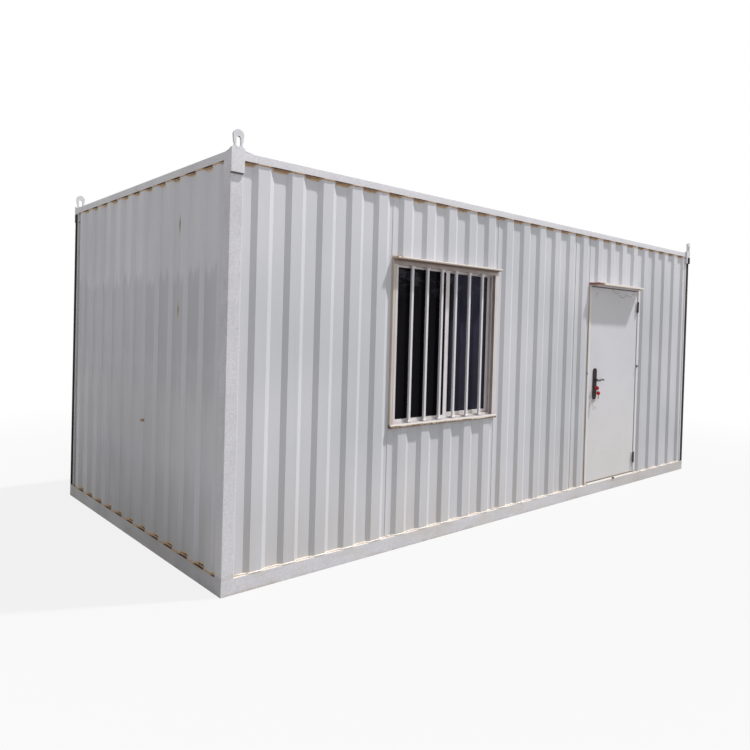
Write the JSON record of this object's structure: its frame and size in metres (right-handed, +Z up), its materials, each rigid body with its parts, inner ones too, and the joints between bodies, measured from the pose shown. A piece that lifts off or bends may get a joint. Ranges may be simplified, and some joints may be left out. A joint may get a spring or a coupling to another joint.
{
  "type": "flat pack container house",
  "caption": "Flat pack container house: ribbed steel walls on a welded frame, barred sliding window, hinged steel door with lever handle, lifting lugs at the corners.",
  "frame": {"origin": "centre of the footprint box at ground level", "axes": "+X along the long front wall to the right, +Y from the front wall to the back, +Z up"},
  "size_m": [6, 3.044, 2.732],
  "materials": {
    "frame_paint": "gloss white paint, chipped and rust-stained",
    "sheet_paint": "satin white paint on ribbed sheet",
    "lining": "matt white faced insulated panel",
    "galvanised": "dull galvanised steel",
    "floor": "sealed floor board",
    "surround_paint": "cream white paint, rust-stained",
    "window_white": "white coated window section",
    "glazing": "clear float glass",
    "hinge_steel": "dark greased steel",
    "door_paint": "smooth white paint",
    "lock_black": "worn black paint",
    "lever_steel": "worn plated steel",
    "key_red": "red key head"
  },
  "bodies": {
    "shell": {"front_bottom_rail": "frame_paint", "back_bottom_rail": "frame_paint", "end_bottom_rails": "frame_paint", "corner_posts": "frame_paint", "front_top_rail": "frame_paint", "back_top_rail": "frame_paint", "end_top_rails": "frame_paint", "lifting_lugs": "frame_paint", "roof_sheet": "sheet_paint", "front_sheet_left": "sheet_paint", "front_sheet_over_window": "sheet_paint", "front_sheet_under_window": "sheet_paint", "front_sheet_middle": "sheet_paint", "front_sheet_over_door": "sheet_paint", "front_sheet_right": "sheet_paint", "back_sheet": "sheet_paint", "left_end_sheet": "sheet_paint", "right_end_sheet": "sheet_paint", "ceiling_panel": "lining", "front_wall_panels": "lining", "front_wall_infills": "lining", "back_wall_panel": "lining", "left_wall_panel": "lining", "right_wall_panel": "lining", "floor_joists": "galvanised", "roof_bearers": "galvanised", "door_threshold": "galvanised", "floor_board": "floor", "window_head": "surround_paint", "window_sill": "surround_paint", "window_jambs": "surround_paint", "security_bars": "surround_paint", "door_hood": "surround_paint", "door_head": "surround_paint", "door_jambs": "surround_paint", "window_frame": "window_white", "window_sashes": "window_white", "window_glass": "glazing", "hinge_posts": "hinge_steel"},
    "door": {"door_leaf": "door_paint", "hinge_barrels": "hinge_steel", "lock_plates": "lock_black", "lock_cylinder": "lever_steel", "door_keys": "key_red"},
    "lever": {"door_lever": "lever_steel"}
  },
  "joints": [
    {"name": "door_swing", "type": "hinge", "parent": "shell", "child": "door", "pos_m": [1.812, -1.438, 0.291], "axis": [0, 0, 1], "range_deg": [0, 105]},
    {"name": "lever_press", "type": "hinge", "parent": "door", "child": "lever", "pos_m": [1.001, -1.412, 1.144], "axis": [0, 1, 0], "range_deg": [0, 45], "stiffness_Nm_per_rad": 1.5, "springref_deg": -20.05}
  ]
}
